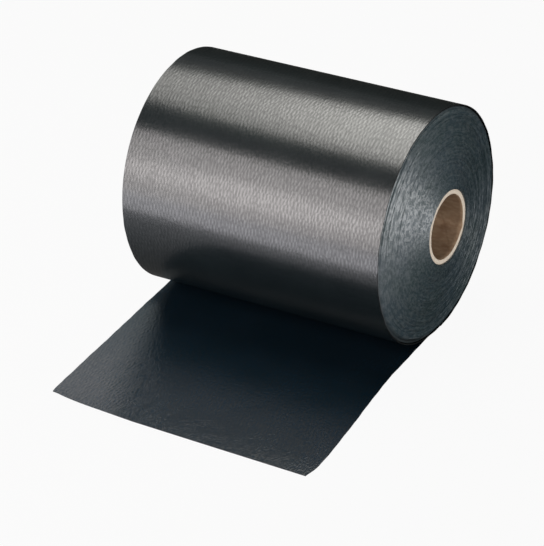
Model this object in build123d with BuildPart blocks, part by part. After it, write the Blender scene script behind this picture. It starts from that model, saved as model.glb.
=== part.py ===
from build123d import *
import os
from math import acos, degrees, sin

os.makedirs("parts", exist_ok=True)

# Roll of plastic damp proof course, wound on a cardboard core and lying on its side.
# The roll's axis is X, the free end lies on the floor towards -Y, and +Z is up.
# The origin is the middle of the core's bore.

film_width = 225.0         # a standard course width, for a wall one brick thick
film_thickness = 0.8       # over the embossing, as the turns lie on each other
roll_radius = 93.0         # outside of the last turn
core_bore_diameter = 51.0
core_wall = 4.0
core_clearance = 0.1       # between the core and the first turn

telescope = 8.9            # how far the first turns stand out past the last one
step_count = 20            # steps that the pushed-out turns make on each end
step_groove = 0.35         # depth of the groove at the foot of each step

tail_reach = 213.0         # from the roll's axis to the free end
tail_drift = 5.0           # how far the free end lies to the right of the roll
tail_corner_radius = 6.0
nip_height = 0.3           # height at which the wedge between roll and tail closes

core_radius = core_bore_diameter / 2 + core_wall
first_turn_radius = core_radius + core_clearance
floor_z = -roll_radius
last_turn_right = film_width / 2 - telescope
last_turn_left = last_turn_right - film_width

# The last turn is a spiral of four quarter arcs, from the floor round the back and over
# the top. Each arc is smaller than the one before by a quarter of the film, so that the
# spiral comes back to the floor on the tail's upper face.
quarter_film = film_thickness / 4
arc_radii = [roll_radius - i * quarter_film for i in range(4)]
wound_radius = arc_radii[3] - quarter_film - film_thickness   # inside of the last turn

nip_angle = acos(1 - nip_height / arc_radii[3])
nip_y = -arc_radii[3] * sin(nip_angle)


def last_turn_outline():
    """The spiral, the wedge where it meets the tail, and the tail's first stretch."""
    r1, r2, r3, r4 = arc_radii
    tail_top = floor_z + film_thickness
    with BuildLine() as outline:
        JernArc((0, floor_z), (1, 0), r1, 90)
        back = JernArc((r1, 0), (0, 1), r2, 90)
        top = JernArc(back @ 1, (-1, 0), r3, 90)
        front = JernArc(top @ 1, (0, -1), r4, 90 - degrees(nip_angle))
        Polyline(front @ 1, (nip_y, tail_top), (nip_y, floor_z), (0, floor_z))
    return outline.edges()


def wound_turns_outline():
    """Half of the wound turns' lengthwise section, stepped the same way at each end."""
    step = (wound_radius + film_thickness / 2 - first_turn_radius) / step_count
    right_edge = []
    for i in range(step_count):
        outside = first_turn_radius + (step_count - i) * step
        x = last_turn_right + telescope * (i + 1) / step_count
        right_edge += [(x, outside), (x - step_groove, outside - step)]
    left_edge = [(x - film_width, r) for x, r in reversed(right_edge)]
    with BuildLine() as outline:
        Polyline(*right_edge, *left_edge, close=True)
    return outline.edges()


# Plastic film, wound in one length: the inner turns, the last turn and the free tail.
end_plane = Plane((last_turn_left, 0, 0), x_dir=(0, 1, 0), z_dir=(1, 0, 0))
with BuildPart() as film:
    with BuildSketch(end_plane):
        make_face(last_turn_outline())
        Circle(wound_radius, mode=Mode.SUBTRACT)
    extrude(amount=film_width)
    with BuildSketch(Plane.XZ):
        make_face(wound_turns_outline())
    revolve(axis=Axis.X)
    with BuildSketch(Plane.XY.offset(floor_z)) as tail:
        with BuildLine():
            Polyline(
                (last_turn_left, 0),
                (last_turn_left, nip_y),
                (last_turn_left + tail_drift, -tail_reach),
                (last_turn_right + tail_drift, -tail_reach),
                (last_turn_right, nip_y),
                (last_turn_right, 0),
                close=True,
            )
        make_face()
        fillet(tail.vertices().group_by(Axis.Y)[0].sort_by(Axis.X)[-1], tail_corner_radius)
    extrude(amount=film_thickness)

# Cardboard tube that the film is wound on, as long as the film is wide.
with BuildPart() as core:
    with BuildSketch(Plane.YZ.offset(-film_width / 2)):
        Circle(core_radius)
        Circle(core_radius - core_wall, mode=Mode.SUBTRACT)
    extrude(amount=film_width)

film.part.label = "film_roll"
core.part.label = "core_tube"
export_step(film.part, "parts/film_roll.step")
export_step(core.part, "parts/core_tube.step")
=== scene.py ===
import bpy
import math
import numpy as np
from mathutils import Euler, Matrix, Vector


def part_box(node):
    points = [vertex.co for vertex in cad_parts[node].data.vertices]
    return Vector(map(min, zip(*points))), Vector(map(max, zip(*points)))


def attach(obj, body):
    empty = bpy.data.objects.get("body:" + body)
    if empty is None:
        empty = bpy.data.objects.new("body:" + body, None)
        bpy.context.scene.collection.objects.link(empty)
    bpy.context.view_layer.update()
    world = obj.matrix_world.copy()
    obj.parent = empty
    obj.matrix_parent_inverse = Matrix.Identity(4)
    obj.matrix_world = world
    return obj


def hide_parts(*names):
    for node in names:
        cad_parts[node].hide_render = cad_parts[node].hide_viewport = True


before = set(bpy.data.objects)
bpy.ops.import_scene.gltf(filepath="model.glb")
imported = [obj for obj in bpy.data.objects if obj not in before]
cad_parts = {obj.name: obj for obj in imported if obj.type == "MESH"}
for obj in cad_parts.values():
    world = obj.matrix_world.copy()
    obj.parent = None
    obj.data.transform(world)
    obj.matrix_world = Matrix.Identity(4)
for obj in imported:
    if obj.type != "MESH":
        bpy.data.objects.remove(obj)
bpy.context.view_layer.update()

# Cardboard core: a tube wound from strips of brown paper glued ply on ply, then sawn to the
# film's width. The film is wound straight onto it, and its right end has a small torn nick.
core_low, core_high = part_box("core_tube")
core_left, core_right = core_low.x, core_high.x
core_radius = core_high.y
core_wall = 0.004
core_edge = 0.0006        # how far the sawn edges are rounded over
core_crown = 0.0001       # how far the middle of the right end's wall stands out
core_columns = 144
nick_angle = math.radians(-28)
nick_width = math.radians(9)
nick_depth = 0.0011
nick_set_back = 0.4 * nick_depth
sharp_corner = math.radians(60)    # corners sharper than this stay sharp
strip_advance = 0.09      # how far a strip of paper climbs the tube in one turn
ply_pitch = 0.0005
fibre_fineness = (170, 420, 420)   # along the tube, and across it both ways
fibre_height = 0.0002
sawn_depth = 0.4 * core_edge       # how far in from each end the pale cut begins
sawn_fade = (-0.0003, 0.0001)      # from where to where it fades in there
mottle_fineness = 90
paper_inside = (0.36, 0.225, 0.135, 1)
paper_fibre = (0.46, 0.315, 0.20, 1)
paper_fleck = (0.16, 0.07, 0.035, 1)
paper_cut = (0.93, 0.80, 0.66, 1)
paper_cut_dark = (0.80, 0.66, 0.50, 1)


def grid_mesh(name, points, closed_rows, closed_columns):
    """Make a mesh of a grid of points, rows by columns by 3, joined into quads.

    A closed direction joins its last line of points to its first. A tube that isn't closed
    along its rows gets one flat face on each end.
    """
    rows, columns = points.shape[:2]
    index = np.arange(rows * columns).reshape(rows, columns)
    if closed_rows:
        index = np.vstack([index, index[:1]])
    if closed_columns:
        index = np.hstack([index, index[:, :1]])
    quads = np.stack([index[:-1, :-1], index[:-1, 1:], index[1:, 1:], index[1:, :-1]], -1)
    faces = quads.reshape(-1, 4).tolist()
    if closed_columns and not closed_rows:
        faces += [index[0, :-1][::-1].tolist(), index[-1, :-1].tolist()]
    return solid_mesh(name, points.reshape(-1, 3), faces)


def solid_mesh(name, points, faces):
    """Make a smooth-shaded object, placed by its points alone, with sharp corners kept."""
    mesh = bpy.data.meshes.new(name)
    mesh.from_pydata(points.tolist(), [], faces)
    mesh.shade_smooth()
    mesh.set_sharp_from_angle(angle=sharp_corner)
    piece = bpy.data.objects.new(name, mesh)
    bpy.context.scene.collection.objects.link(piece)
    return piece


class Value:
    """A socket in a material's nodes. Sums, products and powers of values add Math nodes."""

    def __init__(self, tree, socket=None):
        self.tree, self.socket = tree, socket

    def node(self, kind, settings=None, inputs=None, output=0):
        """Add any other node: its type, its settings, then its sockets' values or links."""
        made = self.tree.nodes.new(kind)
        for name, setting in (settings or {}).items():
            setattr(made, name, setting)
        for name, given in (inputs or {}).items():
            if isinstance(given, Value):
                self.tree.links.new(given.socket, made.inputs[name])
            else:
                made.inputs[name].default_value = given
        return Value(self.tree, made.outputs[output])

    def maths(self, operation, *others):
        """A Math node on this value, such as a sine, or on this value and others."""
        given = dict(enumerate((self,) + others))
        return self.node("ShaderNodeMath", {"operation": operation}, given)

    def __add__(self, other):
        return self.maths("ADD", other)

    def __sub__(self, other):
        return self.maths("SUBTRACT", other)

    def __rsub__(self, other):
        return (self * -1).maths("ADD", other)

    def __mul__(self, other):
        return self.maths("MULTIPLY", other)

    def __truediv__(self, other):
        return self.maths("DIVIDE", other)

    def __pow__(self, other):
        return self.maths("POWER", other)

    __radd__, __rmul__ = __add__, __mul__

    def between(self, low, high):
        """0 below low, 1 above high, and a soft step between the two."""
        settings = {"interpolation_type": "SMOOTHSTEP"}
        return self.node("ShaderNodeMapRange", settings, {0: self, 1: low, 2: high})

    def place(self):
        """The place on the piece, in metres."""
        return self.node("ShaderNodeTexCoord", output="Object")

    def noise(self, where, scale, detail, roughness=0.5):
        """Cloudy noise from 0 to 1 at a place. A larger scale makes it finer."""
        given = {"Vector": where, "Scale": scale, "Detail": detail, "Roughness": roughness}
        return self.node("ShaderNodeTexNoise", None, given)

    def mix(self, amount, first, second):
        """A colour between two, by an amount from 0 to 1."""
        given = {0: amount, 6: first, 7: second}
        return self.node("ShaderNodeMix", {"data_type": "RGBA"}, given, output=2)

    def bump(self, height, distance, strength):
        """A normal tilted by a height, whose 0 to 1 stands for a distance in metres."""
        given = {"Strength": strength, "Distance": distance, "Height": height}
        return self.node("ShaderNodeBump", None, given)

    def parts(self, where):
        """The three numbers of a vector."""
        split = self.node("ShaderNodeSeparateXYZ", None, {0: where}).socket.node
        return [Value(self.tree, split.outputs[i]) for i in range(3)]

    def whole(self, x, y, z):
        """A vector of three numbers."""
        return self.node("ShaderNodeCombineXYZ", None, {0: x, 1: y, 2: z})

    def stretch(self, where, scale):
        """A place multiplied by a scale of its own in each direction."""
        return self.node("ShaderNodeVectorMath", {"operation": "MULTIPLY"}, {0: where, 1: scale})


def new_finish(name, fixed):
    """A material with one Principled shader, whose fixed inputs are set by name.

    Returns the material, a value to add its nodes with, and a function that feeds a value
    to one of the shader's inputs.
    """
    material = bpy.data.materials.new(name)
    material.use_nodes = True
    shader = material.node_tree.nodes["Principled BSDF"]
    for socket, given in fixed.items():
        shader.inputs[socket].default_value = given

    def feed(socket, value):
        material.node_tree.links.new(value.socket, shader.inputs[socket])

    return material, Value(material.node_tree), feed


def core_surface():
    """A closed tube: the wall's lengthwise outline carried round the axis, nicked at one place.

    The nick takes depth times a bell curve of the angle off the inner edge of the right end,
    and sets that edge back by a part of it.
    """
    e, w = core_edge, core_wall
    inside = core_radius - w
    outline = [    # place along the axis, radius, share of the nick's depth
        (core_left + e, core_radius, 0), (core_right - e, core_radius, 0),
        (core_right, core_radius - e, 0), (core_right + core_crown, core_radius - w / 2, 0.3),
        (core_right, inside + e, 1), (core_right - e, inside, 1),
        (core_right - 6 * e, inside, 0), (core_left + e, inside, 0),
        (core_left, inside + e, 0), (core_left, core_radius - e, 0),
    ]
    x, r, nicked = np.array(outline).T[..., None]
    around = np.linspace(0, 2 * np.pi, core_columns, endpoint=False)[None]
    away = np.angle(np.exp(1j * (around - nick_angle))) / nick_width
    nick = np.exp(-away**2) * (nicked > 0)
    r = r + nick_depth * nick * nicked
    x = x - nick_set_back * nick
    return np.stack([x, r * np.cos(around), r * np.sin(around)], -1)


core = grid_mesh("cardboard_core", core_surface(), True, True)
cardboard, nodes, feed = new_finish("brown_cardboard", {"Specular IOR Level": 0.3})
place = nodes.place()
x, y, z = nodes.parts(place)
radius = (y * y + z * z) ** 0.5
sawn_right = (x - (core_right - sawn_depth)).between(*sawn_fade)
sawn_left = (core_left + sawn_depth - x).between(*sawn_fade)
sawn = sawn_right.maths("MAXIMUM", sawn_left)
fibres = nodes.noise(nodes.stretch(place, fibre_fineness), 1, 3)
mottle = nodes.noise(place, mottle_fineness, 3)
strip_turns = z.maths("ARCTAN2", y) / (2 * math.pi) + x / strip_advance
seam = (strip_turns.maths("FRACT") - 0.5).maths("ABSOLUTE").between(0.485, 0.495)
plies = (radius * (2 * math.pi / ply_pitch)).maths("SINE")
wall = nodes.mix(fibres.between(0.3, 0.75), paper_inside, paper_fibre)
wall = nodes.mix(seam * 0.12, wall, paper_fleck)
wall = nodes.mix(mottle.between(0.45, 0.7) * 0.45, wall, paper_fleck)
cut = nodes.mix(fibres.between(0.35, 0.7) * 0.4 + plies * 0.1, paper_cut, paper_cut_dark)
feed("Base Color", nodes.mix(sawn, wall, cut))
feed("Roughness", 0.78 + 0.15 * fibres)
feed("Normal", nodes.bump(fibres + seam * -0.5 + plies * sawn * 0.4, fibre_height, 0.5))
core.data.materials.append(cardboard)
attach(core, "root")
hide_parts("core_tube")

# The wound turns: nearly eighty turns of film, pushed along the roll so that each stands a
# little further out than the next one outside it. Only the edges of the film show, on the
# cone of the right end and in the dish of the left end.
film_low, film_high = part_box("film_roll")
film_left = film_low.x
film_width = core_right - core_left
telescope = film_high.x - film_left - film_width    # how far the first turn stands out
last_turn_right = film_left + film_width
roll_radius = -film_low.z
film_pitch = 0.0008       # from one turn to the next
core_gap = 0.0001         # between the core and the first turn
last_turn_gap = 0.00005   # between the wound turns and the last turn
stack_inside = core_radius + core_gap
stack_outside = roll_radius - 2 * film_pitch - last_turn_gap
turn_count = round((stack_outside - stack_inside) / film_pitch)
turn_edge = np.array([(0.0, 0.0), (0.05, 1.0), (0.4, 0.65), (0.7, 0.35)])    # place, height
edge_depth = 0.00044      # each turn's edge is square inside and worn slanting outside
turn_columns = 128
slip_seed = 7
slip_size = 0.00030       # how far a turn has slipped along the roll
slip_blend = [0.4, 1, 0.4]         # a turn takes its neighbours some of the way with it
wave_count = 6
wave_height = 0.00012
wave_drift = 0.8          # how far a wave shifts from one turn to the next, in radians
even_share = 0.985        # past this share of the stack the turns lie even
loose_turns = 2           # the outermost turns, which hang slack together
set_back = 0.001          # how far the loose turns have slipped to the left
crevice_depth = 0.004     # how deep the gap under them is
slack = 0.0021            # how far they hang off the roll
slack_start, slack_angle = np.radians(240), np.radians(120)    # where the hang is, round the roll
slack_droop = 1.5         # above 1, the slack hangs lower down
streaks_round, streaks_across = 15, 480    # how fine the streaks are
cloud_fineness, scuff_fineness = 30, (300, 160, 420)
streak_height = 0.0008
# The dark rim of each end is painted shade, not a colour of the film.
shade_rim_inside, shade_rim_outside = 0.965, 0.985     # shares of the radius where the rim turns dark
slate_green = (0.012, 0.037, 0.042, 1)
slate_blue = (0.016, 0.040, 0.054, 1)
slate_pale = (0.044, 0.070, 0.080, 1)
painted_shade_slate = (0.006, 0.009, 0.011, 1)
scuff_grey = (0.3, 0.33, 0.36, 1)


def hang(around):
    """How far a slack turn hangs off the roll's front, from 0 to 1 and back to 0.

    The way round goes from the floor up the back, over the top and down the front. The hang
    is the square of a sine over its last third, and a power of that share brings the deepest
    hang lower.
    """
    share = np.clip((around - slack_start) / slack_angle, 0, 1)
    return np.sin(np.pi * share**slack_droop) ** 2


def end_of_turns(side):
    """One end's points, from the core outwards.

    The length of the roll falls in a straight line with the radius, plus each turn's worn
    edge, plus each turn's own slip, plus sine waves round the roll that drift from turn to
    turn. The loose turns lie further left, with a crevice under them where they hang. The
    radius grows evenly from turn to turn, plus the hang of the loose turns.
    """
    step = np.arange(turn_count * len(turn_edge))[:, None]
    turn = step // len(turn_edge)
    around = np.linspace(0, 2 * np.pi, turn_columns, endpoint=False)[None]
    draw = np.random.default_rng(slip_seed)
    slip = np.convolve(draw.normal(0, slip_size, turn_count + 2), slip_blend, "valid")
    drift = np.cumsum(draw.normal(0, wave_drift, (wave_count, turn_count)), axis=1)
    wave = sum(wave_height / (i + 1) ** 0.5 * np.sin((i * 3 + 1) * around + drift[i][turn])
               for i in range(wave_count))
    place, height = np.tile(turn_edge, (turn_count, 1)).T[..., None]
    share = (turn + place) / turn_count
    loose = turn >= turn_count - loose_turns
    first_loose = step == (turn_count - loose_turns) * len(turn_edge)
    crevice = crevice_depth * first_loose * hang(around) ** 0.5
    out = edge_depth * height - crevice
    x = last_turn_right + telescope * (1 - share) + (slip[turn] + wave) * (share < even_share)
    x = x - set_back * loose + (out if side == "right" else -film_width - out)
    # The outermost turn stands one film further out where the spiral comes round.
    spiral = film_pitch * (turn >= turn_count - 1) * (1 - around / (2 * np.pi))
    r = stack_inside + (stack_outside - stack_inside) * share
    r = r + spiral + slack * loose * hang(around)
    angle = around - np.pi / 2
    return np.stack([x, r * np.cos(angle), r * np.sin(angle)], -1)


right, left = end_of_turns("right"), end_of_turns("left")
turns = grid_mesh("wound_turns", np.concatenate([right, left[::-1]])[:, ::-1], True, True)
edges, nodes, feed = new_finish("film_edges", {
    "IOR": 1.8, "Specular IOR Level": 0.8, "Coat IOR": 1.9, "Coat Roughness": 0.37})
place = nodes.place()
x, y, z = nodes.parts(place)
radius = (y * y + z * z) ** 0.5
turned = nodes.whole(y / radius * streaks_round, z / radius * streaks_round, radius * streaks_across)
streaks = nodes.noise(turned, 1, 3, 0.6)
cloud = nodes.noise(place, cloud_fineness, 4)
scuffs = nodes.noise(nodes.stretch(place, scuff_fineness), 1, 1).between(0.76, 0.80)
# Painted shade: a dark ring near the rim of each end, where the outermost turns lie, with its coat
# taken off as well.
painted_rim_shade = (radius / roll_radius).between(shade_rim_inside, shade_rim_outside)
slate = nodes.mix(cloud.between(0.3, 0.7), slate_green, slate_blue)
slate = nodes.mix(streaks.between(0.45, 0.7), slate, slate_pale)
slate = nodes.mix(painted_rim_shade * 0.7, slate, painted_shade_slate)
feed("Base Color", nodes.mix(scuffs * 0.6, slate, scuff_grey))
feed("Roughness", 0.45 + 0.2 * streaks)
feed("Coat Weight", streaks.between(0.42, 0.6) * (1 - painted_rim_shade))
feed("Normal", nodes.bump(streaks, streak_height, 1.0))
turns.data.materials.append(edges)
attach(turns, "root")
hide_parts("film_roll")

# The last turn: one turn of the same film, from under the roll up the back, over the top
# and down the front, where it hangs slack. The film is black polyethylene with a grain of
# staggered lenses rolled into it: their crests are polished and the hollows stay dull.
grain_across = 0.00294    # from one grain to the next, across the film
grain_along = 0.01204     # and along it
grain_depth = 0.00010     # from crest to hollow
grain_start = 10 * film_width      # how far along the grain's pattern each sheet begins
samples_across, samples_along = 4, 6
grain_drift = 0.25        # how far a grain strays from its place, as a share of the pitch
grain_fade = 0.45         # how much shallower the faintest grains are
grain_roundness = 0.7     # below 1, the crests are broad and the hollows narrow
film_thickness = 0.00075
inner_columns = 4         # the plain inner face needs no more
edge_wander = 0.00009     # how far each of three slow waves shifts the film sideways
wander_lengths = (0.017, 0.041, 0.09)
wander_phase = 900        # sets each wave off from a place of its own
looseness = 0.0004        # how far the film springs off the roll between its two ends
loosening_angle = np.radians(40)
grit_across, grit_along = 700, 330         # how fine the grit is
film_cloud_fineness = 22
grit_depth = 0.0001
crest_grey = (0.012, 0.016, 0.018, 1)
hollow_gloss, crest_gloss, grit_gloss = 0.11, 0.43, 0.28


def rough(u, v, cell_u, cell_v, seed):
    """Smooth random heights from -1 to 1: one random number for each cell of a grid, blended
    between cells by a rounded step. The grid repeats every 256 cells."""
    draw = np.random.default_rng(seed).uniform(-1, 1, (256, 256))
    i, j = np.floor(u / cell_u).astype(int), np.floor(v / cell_v).astype(int)
    s, t = u / cell_u - i, v / cell_v - j
    s, t = s * s * (3 - 2 * s), t * t * (3 - 2 * t)
    low = draw[i % 256, j % 256] * (1 - s) + draw[(i + 1) % 256, j % 256] * s
    high = draw[i % 256, (j + 1) % 256] * (1 - s) + draw[(i + 1) % 256, (j + 1) % 256] * s
    return low * (1 - t) + high * t


def film_sheet(name, face, normal, along, depth):
    """A closed sheet of film. The outer face is moved along its normal by the grain, a rounded
    product of two cosines whose rows stray and fade by smooth random amounts. The plain inner
    face lies one film's thickness below. Slow sines of the length shift each row sideways.

    Face is rows by columns by 3, normal is rows by 3, along is the length to each row.
    """
    columns = face.shape[1]
    inner = np.linspace(columns - 1, 0, inner_columns).astype(int)
    column = np.concatenate([np.arange(columns), inner])
    wander = sum(np.sin(along * 2 * np.pi / length + length * wander_phase)
                 for length in wander_lengths)
    u = np.tile(np.linspace(0, film_width, columns)[column], (len(along), 1))
    v = np.tile(along[:, None], (1, len(column))) + grain_start
    stray_u = u + grain_drift * grain_across * rough(u, v, 2 * grain_across, grain_along, seed=1)
    stray_v = v + grain_drift * grain_along * rough(u, v, 2 * grain_across, grain_along, seed=2)
    fade = 1 - grain_fade * (rough(u, v, grain_across, grain_along / 2, seed=3) + 1) / 2
    lens = np.cos(2 * np.pi * stray_u / grain_across) * np.cos(2 * np.pi * stray_v / grain_along)
    height = depth * (fade * ((lens + 1) / 2) ** grain_roundness - 1)
    height[:, columns:] = -film_thickness
    points = face[:, column] + normal[:, None] * height[..., None]
    points[..., 0] += edge_wander * wander[:, None]
    sheet = grid_mesh(name, points[:, ::-1], False, True)
    spot = sheet.data.attributes.new("film_place", "FLOAT_VECTOR", "POINT")
    place = np.stack([stray_u, stray_v, fade], -1)[:, ::-1]
    spot.data.foreach_set("vector", place.astype(np.float32).ravel())
    return sheet


def black_film(name, roughness, shine, dark, less_dark, grit_strength):
    """The finish of the film, with polished crests and a fine grit between them."""
    film, nodes, feed = new_finish(name, {
        "IOR": 1.5, "Specular IOR Level": 0.6 * shine, "Coat IOR": 1.5, "Coat Roughness": 0.18})
    spot = nodes.node("ShaderNodeAttribute", {"attribute_name": "film_place"}, output="Vector")
    across, along, fade = nodes.parts(spot)
    waves_across = (across * (2 * math.pi / grain_across)).maths("COSINE")
    waves_along = (along * (2 * math.pi / grain_along)).maths("COSINE")
    crest = ((waves_across * waves_along + 1) * 0.5 * fade).between(0.3, 0.6)
    grit_place = nodes.whole(across * grit_across, along * grit_along, 0)
    grit = nodes.noise(grit_place, 1, 1).between(0.38, 0.64)
    cloud = nodes.noise(nodes.place(), film_cloud_fineness, 3)
    black = nodes.mix(cloud.between(0.35, 0.7), dark, less_dark)
    feed("Base Color", nodes.mix((grit + crest) * 0.4, black, crest_grey))
    feed("Roughness", roughness - 0.02 * crest + 0.06 * (cloud - 0.5))
    feed("Coat Weight", (hollow_gloss + crest_gloss * crest + grit_gloss * grit) * shine)
    feed("Normal", nodes.bump(grit, grit_depth, grit_strength))
    return film


# The turn is a spiral: its radius falls by one pitch on the way round, plus the slack's hang,
# plus the looseness, which fades in and out by a rounded step at the turn's two ends.
turn_rows = round(2 * math.pi * roll_radius / grain_along * samples_along) + 1
around = np.linspace(0, 2 * np.pi, turn_rows)
free = np.clip(np.minimum(around, 2 * np.pi - around) / loosening_angle, 0, 1)
r = (roll_radius - film_pitch * around / (2 * np.pi) + slack * hang(around)
     + looseness * free**2 * (3 - 2 * free))
angle = around - np.pi / 2
normal = np.stack([0 * angle, np.cos(angle), np.sin(angle)], -1)
film_columns = round(film_width / grain_across * samples_across) + 1
across = np.linspace(film_left, last_turn_right, film_columns)[:, None] * np.array([1.0, 0, 0])
face = (normal * r[:, None])[:, None] + across
last_turn = film_sheet("last_turn", face, normal, around * roll_radius, grain_depth)
wound_film = black_film(
    "black_film", roughness=0.25, shine=1, dark=(0.005, 0.008, 0.009, 1),
    less_dark=(0.007, 0.011, 0.012, 1), grit_strength=0.25)
last_turn.data.materials.append(wound_film)
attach(last_turn, "root")
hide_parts("film_roll")

# The free end: the start of the film, run out flat on the floor and cut by hand. It drifts a
# little to the right as it runs forward, its right edge bows out and its front corners are
# blunt.
tail_root, tail_front = 0.0, film_low.y
root_left, front_left = -0.1239, -0.1216
root_right = 0.1016
bow, bow_start, bow_length = 0.0078, 0.065, 0.135    # how far the right edge bows out, and where
front_skew = 0.001        # how much further the front edge's right corner reaches than its middle
blunt_left, blunt_left_width = 0.0056, 0.022    # how far the front edge falls back at the left
blunt_corner, corner_start, corner_length = 0.0026, 0.197, 0.016    # the right corner
left_corner_share = 0.6   # how far the left edge is blunted there, as a share of the right's
flat_grain_depth = 0.00011

# Rows run from the root to the front edge, and each is a straight line from the left edge to
# the right. The bow grows by a rounded step, the blunt corners by a square, and the front
# edge falls back at the left by a dying exponential.
tail_rows = round((tail_root - tail_front) / grain_along * samples_along) + 1
rows = np.linspace(0, 1, tail_rows)[:, None]
share = np.linspace(0, 1, film_columns)[None]
front = tail_front - front_skew * (2 * share - 1)
front = front + blunt_left * np.exp(-share * film_width / blunt_left_width)
y = tail_root + (front - tail_root) * rows
bend = np.clip((-y - bow_start) / bow_length, 0, 1)
corner = blunt_corner * np.clip((-y - corner_start) / corner_length, 0, 1) ** 2
left = root_left + (front_left - root_left) * rows + left_corner_share * corner
right = root_right + bow * bend**2 * (3 - 2 * bend) - corner
x = left + (right - left) * share
face = np.stack([x, y, 0 * y + film_pitch - roll_radius], -1)
upright = np.tile([0.0, 0.0, 1.0], (len(rows), 1))
tail = film_sheet("free_end", face, upright, -y[:, film_columns // 2], flat_grain_depth)
flat_film = black_film(
    "black_film_flat", roughness=0.19, shine=0.48, dark=(0.004, 0.015, 0.026, 1),
    less_dark=(0.006, 0.018, 0.031, 1), grit_strength=0.6)
tail.data.materials.append(flat_film)
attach(tail, "root")
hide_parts("film_roll")

# The studio's floor: a plain pale disc that the film rests on, with the roll's shadow on it.
# The camera sees it nearly white. Gloss sees a glow in its place, with painted shadow under
# and behind the roll, and paler in front.
floor_radius, floor_corners = 3.0, 64
floor_drop = 0.0001       # how far it lies below the film
floor_white, mirrored_white = 0.94, 0.88   # shares of glow in what the camera and gloss see
painted_shadow_until, pale_from = 0.06, 0.26         # how far in front of the roll's axis
mirrored_painted_shadow, mirrored_pale = (0.05, 0.05, 0.05, 1), (0.62, 0.62, 0.66, 1)
around = np.linspace(0, 2 * np.pi, floor_corners, endpoint=False)
ring = np.stack([floor_radius * np.cos(around), floor_radius * np.sin(around),
                 0 * around - roll_radius - floor_drop], -1)
floor = solid_mesh("floor", ring, [list(range(floor_corners))])
pale, nodes, feed = new_finish("pale_floor", {
    "Base Color": (0.3, 0.3, 0.3, 1), "Roughness": 1.0, "Specular IOR Level": 0.0})
kinds = nodes.node("ShaderNodeLightPath").socket.node.outputs
seen, mirrored, through = (Value(nodes.tree, kinds[name]) for name in (
    "Is Camera Ray", "Is Glossy Ray", "Is Transmission Ray"))
forward = nodes.parts(nodes.place())[1] * -1
# Painted shadow: the glow that gloss sees is dark near and behind the roll and pale further in front.
shade = nodes.mix(forward.between(painted_shadow_until, pale_from), mirrored_painted_shadow, mirrored_pale)
glow_colour = nodes.mix(mirrored, (1, 1, 1, 1), shade)
glow = nodes.node("ShaderNodeEmission", None, {"Color": glow_colour, "Strength": 1.0})
amount = seen * floor_white + mirrored * mirrored_white + through * floor_white
lit = Value(nodes.tree, nodes.tree.nodes["Principled BSDF"].outputs["BSDF"])
mixed = nodes.node("ShaderNodeMixShader", None, {0: amount, 1: lit, 2: glow})
nodes.tree.links.new(mixed.socket, nodes.tree.nodes["Material Output"].inputs["Surface"])
floor.data.materials.append(pale)

# A black card: a board covered in dark cloth, stood well behind the roll and mostly to its
# left, as in a studio. It shows only in gloss.
card_away = 0.5
card_left, card_right = -1.0, 0.05
card_low, card_high = -0.093, 0.26
card = solid_mesh("black_card", np.array([
    (card_left, card_away, card_low), (card_right, card_away, card_low),
    (card_right, card_away, card_high), (card_left, card_away, card_high)]), [[0, 1, 2, 3]])
card.data.materials.append(new_finish("black_cloth", {
    "Base Color": (0.05, 0.05, 0.045, 1), "Roughness": 1.0, "Specular IOR Level": 0.0})[0])
card.visible_camera = card.visible_diffuse = card.visible_shadow = False

# A white card at the roll's left: no lamp, but a board that glows of itself, its right edge cut
# slanting and its painted glow fading downwards. It shows only in gloss, as a painted reflection that
# brightens the left of the free end.
glow_away = -0.03
glow_left, glow_right_low, glow_right_high = -0.42, -0.142, -0.215
glow_low, glow_high = -0.06, 0.085
fade_low, fade_high = -0.06, 0.06
glow_dim, glow_bright = (0.50, 0.56, 0.57, 1), (1, 0.97, 0.98, 1)
glow_card = solid_mesh("white_card", np.array([
    (glow_left, glow_away, glow_low), (glow_right_low, glow_away, glow_low),
    (glow_right_high, glow_away, glow_high), (glow_left, glow_away, glow_high)]), [[0, 1, 2, 3]])
bright, nodes, feed = new_finish("glowing_card", {
    "Base Color": (0, 0, 0, 1), "Roughness": 1.0, "Specular IOR Level": 0.0, "Emission Strength": 1.75})
height = nodes.parts(nodes.place())[2]
# Painted glow: the card's own emission, fading downwards.
feed("Emission Color", nodes.mix(height.between(fade_low, fade_high), glow_dim, glow_bright))
glow_card.data.materials.append(bright)
glow_card.visible_camera = glow_card.visible_diffuse = glow_card.visible_shadow = False

# The lamps: softboxes on stands above the roll, in front of it and at its right, and a panel
# that lies on the floor in front and shines upwards.
roll_middle = Vector(((film_left + last_turn_right) / 2, 0, 0))
warm_white, rosy_white = (1.0, 0.98, 0.93), (1.0, 0.945, 0.935)
violet_white, cool_white = (0.97, 0.95, 1.0), (0.98, 0.99, 1.0)


def softbox(name, shape, offset, width, height, brightness, colour):
    """A lamp that faces the roll, its width as near along the roll as it can be. Brightness
    is the radiance of its face, so its power is that times the face's area and pi."""
    lamp = bpy.data.lights.new(name, "AREA")
    lamp.shape, lamp.size, lamp.size_y = shape, width, height
    area = width * height * (math.pi / 4 if shape == "ELLIPSE" else 1)
    lamp.energy = brightness * area * math.pi
    lamp.color = colour
    away = Vector(offset).normalized()
    upright = away.cross(Vector((1, 0, 0))).normalized()
    piece = bpy.data.objects.new(name, lamp)
    piece.visible_camera = False
    piece.location = roll_middle + Vector(offset)
    piece.rotation_euler = Matrix((upright.cross(away), upright, away)).transposed().to_euler()
    bpy.context.scene.collection.objects.link(piece)
    return piece


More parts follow.
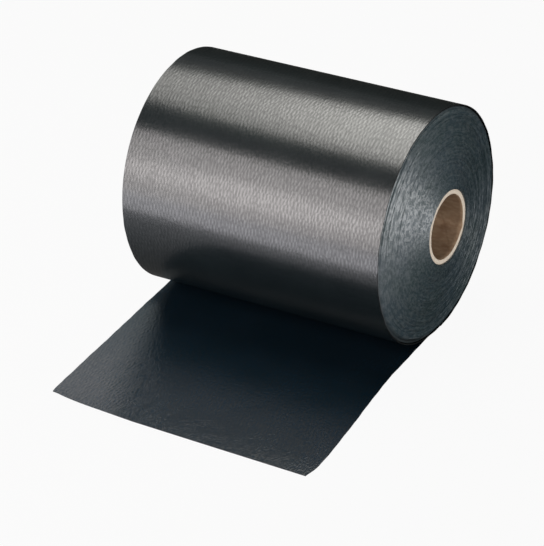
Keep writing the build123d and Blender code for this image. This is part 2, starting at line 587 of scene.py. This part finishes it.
softbox("top_softbox", "ELLIPSE", offset=(-0.33, 0.29, 1.11), width=1.04, height=1.20,
        brightness=2.9, colour=warm_white)
softbox("top_softbox_right", "ELLIPSE", offset=(-0.17, 0.30, 1.13), width=0.80, height=1.30,
        brightness=2.1, colour=warm_white)
front_box = {"shape": "RECTANGLE", "offset": (-0.445, -0.879, 0.385), "width": 0.62,
             "height": 1.00, "brightness": 4.1, "colour": rosy_white}
front_lamp = softbox("front_softbox", **front_box)
fill_lamp = softbox("front_fill", **front_box)
fill_lamp.visible_glossy = False
middle_lamp = softbox("front_softbox_middle", "ELLIPSE", offset=(-0.45, -0.91, 0.295),
                      width=0.42, height=0.38, brightness=2.3, colour=rosy_white)
floor_panel = softbox("floor_panel", "RECTANGLE", offset=(-0.35, -0.66, -0.092), width=0.8,
                      height=0.70, brightness=2.75, colour=violet_white)
floor_panel.rotation_euler = (math.pi, 0, 0)
side_lamp = softbox("side_softbox", "RECTANGLE", offset=(1.25, -0.36, 0.18), width=1.1,
                    height=1.1, brightness=3.4, colour=cool_white)


def flag(name, lamps, lit):
    """Keep lamps off everything but the pieces they are to light, as flags do in a studio."""
    pieces = bpy.data.collections.new(name)
    for piece in lit:
        pieces.objects.link(piece)
    for lamp in lamps:
        lamp.light_linking.receiver_collection = pieces


# Seen from the far side, the film would mirror these lamps at a low angle and turn white. The
# free end gets the front lamp's light without its highlight.
flag("ends", [side_lamp], [turns, core])
flag("all_but_free_end", [front_lamp, middle_lamp], [turns, core, last_turn, floor])
flag("free_end_alone", [fill_lamp], [tail])

# The studio's room: a faint, even light from all round, as its walls throw back, so that no
# side of the roll is quite black.
room_colour, room_brightness = (0.94, 1.0, 0.98, 1), 0.09
world = bpy.data.worlds.new("studio")
bpy.context.scene.world = world
world.use_nodes = True
room = world.node_tree.nodes["Background"]
room.inputs["Color"].default_value = room_colour
room.inputs["Strength"].default_value = room_brightness

# The camera: in front of the roll, to its right and above it, with a long lens. It is aimed
# at the roll's middle, then slid left and down without turning, so that the free end fits in.
# The circles of the ends and the free end's straight edges in the photograph gave its place.
turn_to_camera, height_of_camera, lean = (math.radians(a) for a in (33.24, 32.52, -4.29))
radius_in_view = 0.093    # the roll's radius, in which the next three are counted
distance_in_radii = 23.04
slide_left, slide_down = 0.3616, 0.6512
photo_height = 546        # in pixels, the photograph's longer side
focal_pixels = 2754.7     # the focal length in pixels
sensor_side = 36.0        # in millimetres, for the longer side
camera_distance = distance_in_radii * radius_in_view
lens = bpy.data.cameras.new("camera")
lens.sensor_width = sensor_side
lens.lens = focal_pixels * sensor_side / photo_height
lens.clip_end = 50
camera = bpy.data.objects.new("camera", lens)
turned = Euler((math.pi / 2 - height_of_camera, 0, turn_to_camera), "XYZ").to_matrix()
side, up, back = turned.col
slide = radius_in_view * (-slide_left * side - slide_down * up)
camera.location = roll_middle + back * camera_distance + slide
camera.rotation_euler = (turned @ Euler((0, 0, lean)).to_matrix()).to_euler()
bpy.context.scene.collection.objects.link(camera)
bpy.context.scene.camera = camera
bpy.context.scene.view_settings.view_transform = "Standard"
